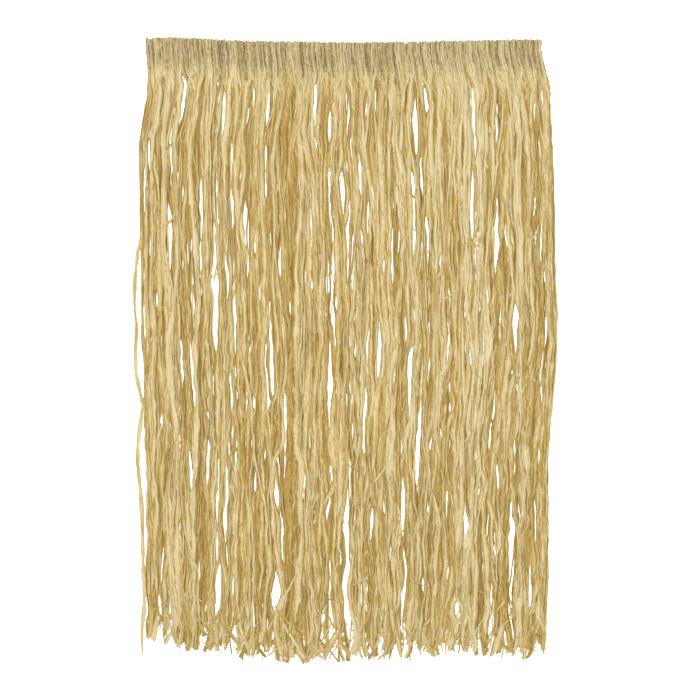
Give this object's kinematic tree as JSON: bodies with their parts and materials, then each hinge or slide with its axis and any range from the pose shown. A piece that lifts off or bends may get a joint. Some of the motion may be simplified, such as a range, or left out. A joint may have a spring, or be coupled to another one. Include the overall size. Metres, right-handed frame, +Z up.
{
  "type": "grass skirt",
  "caption": "Pull-on grass skirt of crumpled paper raffia strands on a gathered, twice-stitched elastic waist, laid flat with its front on its back.",
  "frame": {"origin": "centre of the skirt's box on the surface it lies on", "axes": "+Y from the hem to the waist, +X to the right of someone looking down at the front, +Z up through the front"},
  "size_m": [0.4843, 0.715, 0.0075],
  "materials": {
    "gathered_raffia": "matte",
    "front_raffia": "matte",
    "back_raffia": "matte",
    "thread": "matte"
  },
  "bodies": {
    "root": {"waist_casing": "gathered_raffia", "heading": "gathered_raffia", "front_hank_01": "front_raffia", "front_hank_02": "front_raffia", "front_hank_03": "front_raffia", "front_hank_04": "front_raffia", "front_hank_05": "front_raffia", "front_hank_06": "front_raffia", "front_hank_07": "front_raffia", "front_hank_08": "front_raffia", "front_hank_09": "front_raffia", "front_hank_10": "front_raffia", "front_hank_11": "front_raffia", "front_hank_12": "front_raffia", "front_hank_13": "front_raffia", "front_hank_14": "front_raffia", "front_hank_15": "front_raffia", "front_hank_16": "front_raffia", "front_hank_17": "front_raffia", "front_hank_18": "front_raffia", "back_hank_01": "back_raffia", "back_hank_02": "back_raffia", "back_hank_03": "back_raffia", "back_hank_04": "back_raffia", "back_hank_05": "back_raffia", "back_hank_06": "back_raffia", "back_hank_07": "back_raffia", "back_hank_08": "back_raffia", "back_hank_09": "back_raffia", "back_hank_10": "back_raffia", "back_hank_11": "back_raffia", "back_hank_12": "back_raffia", "stray_strand_upper": "front_raffia", "stray_strand_lower": "front_raffia"}
  },
  "joints": []
}
